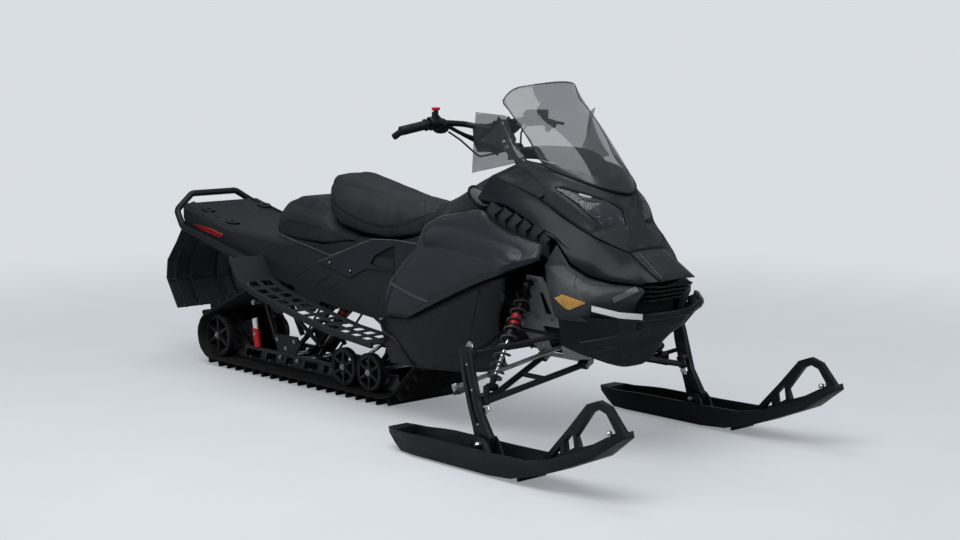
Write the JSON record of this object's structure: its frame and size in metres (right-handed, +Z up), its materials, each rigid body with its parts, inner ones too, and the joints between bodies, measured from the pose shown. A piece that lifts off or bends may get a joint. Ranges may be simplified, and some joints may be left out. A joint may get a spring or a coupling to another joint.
{
  "type": "snowmobile",
  "caption": "Black single-track snowmobile with two steered skis, a tall smoked windshield, a stepped seat and a rear grab bar.",
  "frame": {"origin": "middle of the overall length and width, on the floor", "axes": "+X forward, +Y to the rider's left, +Z up"},
  "size_m": [3.134, 1.222, 1.273],
  "materials": {
    "track_rubber": "matte",
    "wheel_plastic": "satin",
    "steel": "satin",
    "rail_alloy": "satin",
    "tunnel_black": "satin",
    "flap_plastic": "matte",
    "seat_vinyl": "matte",
    "gloss_black": "gloss",
    "satin_black": "satin",
    "clear_lens": "gloss",
    "red_lens": "gloss",
    "shock_black": "satin",
    "smoked_screen": "gloss",
    "engine_alloy": "matte",
    "arm_black": "satin",
    "ski_plastic": "satin",
    "grip_rubber": "matte",
    "bright_steel": "satin"
  },
  "bodies": {
    "chassis": {"track": "track_rubber", "rear_wheels": "wheel_plastic", "idler_wheels": "wheel_plastic", "rail_axles": "steel", "slide_rails": "rail_alloy", "track_arms": "tunnel_black", "track_shocks": "shock_black", "drive_axle": "steel", "tunnel": "tunnel_black", "cargo_anchors": "tunnel_black", "running_boards": "tunnel_black", "rear_bumper": "tunnel_black", "tail_reflectors": "red_lens", "snow_flap": "flap_plastic", "driver_seat": "seat_vinyl", "rear_seat": "seat_vinyl", "console": "flap_plastic", "fuel_tank": "flap_plastic", "hood": "satin_black", "hood_sides": "gloss_black", "nose_panel": "satin_black", "headlights": "clear_lens", "side_vents": "flap_plastic", "front_fairings": "gloss_black", "front_bumper": "flap_plastic", "grille": "flap_plastic", "belly_pan": "flap_plastic", "side_panels": "gloss_black", "lower_panels": "flap_plastic", "windshield": "smoked_screen", "wind_deflectors": "smoked_screen", "dash": "flap_plastic", "front_frame": "rail_alloy", "engine": "engine_alloy", "suspension_arms": "arm_black", "ski_shocks": "shock_black"},
    "handlebar": {"handlebar": "arm_black", "hand_grips": "grip_rubber", "hand_controls": "flap_plastic", "throttle_cable": "grip_rubber", "brake_hose": "grip_rubber"},
    "steering_arm": {"steering_arm": "arm_black"},
    "ski_leg_left": {"ski_leg_left": "arm_black"},
    "ski_leg_right": {"ski_leg_right": "arm_black"},
    "ski_left": {"ski_left": "ski_plastic"},
    "ski_right": {"ski_right": "ski_plastic"},
    "tie_rod_left": {"tie_rod_left": "bright_steel"},
    "tie_rod_right": {"tie_rod_right": "bright_steel"}
  },
  "joints": [
    {"name": "handlebar_turn", "type": "hinge", "parent": "chassis", "child": "handlebar", "pos_m": [0.448, 0, 1.092], "axis": [-0.5446, 0, 0.8387], "range_deg": [-36, 36]},
    {"name": "centre_arm_turn", "type": "hinge", "parent": "chassis", "child": "steering_arm", "pos_m": [0.97739, 0, 0.43941], "axis": [-0.3662, 0, 0.9305], "range_deg": [-29, 29]},
    {"name": "left_ski_steer", "type": "hinge", "parent": "chassis", "child": "ski_leg_left", "pos_m": [0.883, 0.5045, 0.217], "axis": [-0.3662, 0, 0.9305], "range_deg": [-29, 29]},
    {"name": "right_ski_steer", "type": "hinge", "parent": "chassis", "child": "ski_leg_right", "pos_m": [0.883, -0.5045, 0.217], "axis": [-0.3662, 0, 0.9305], "range_deg": [-29, 29]},
    {"name": "left_tie_rod_swing", "type": "hinge", "parent": "ski_leg_left", "child": "tie_rod_left", "pos_m": [0.73894, 0.5045, 0.24444], "axis": [-0.3662, 0, 0.9305], "range_deg": [-29, 29]},
    {"name": "right_tie_rod_swing", "type": "hinge", "parent": "ski_leg_right", "child": "tie_rod_right", "pos_m": [0.73894, -0.5045, 0.24444], "axis": [-0.3662, 0, 0.9305], "range_deg": [-29, 29]},
    {"name": "left_ski_pitch", "type": "hinge", "parent": "ski_leg_left", "child": "ski_left", "pos_m": [0.927, 0.5385, 0.088], "axis": [0, 1, 0], "range_deg": [-15, 8], "stiffness_Nm_per_rad": 60},
    {"name": "right_ski_pitch", "type": "hinge", "parent": "ski_leg_right", "child": "ski_right", "pos_m": [0.927, -0.5385, 0.088], "axis": [0, 1, 0], "range_deg": [-15, 8], "stiffness_Nm_per_rad": 60}
  ],
  "couplings": [
    {"joint": "centre_arm_turn", "follows": "handlebar_turn", "ratio": 0.8},
    {"joint": "left_ski_steer", "follows": "handlebar_turn", "ratio": 0.8},
    {"joint": "right_ski_steer", "follows": "handlebar_turn", "ratio": 0.8},
    {"joint": "left_tie_rod_swing", "follows": "handlebar_turn", "ratio": -0.8},
    {"joint": "right_tie_rod_swing", "follows": "handlebar_turn", "ratio": -0.8}
  ]
}
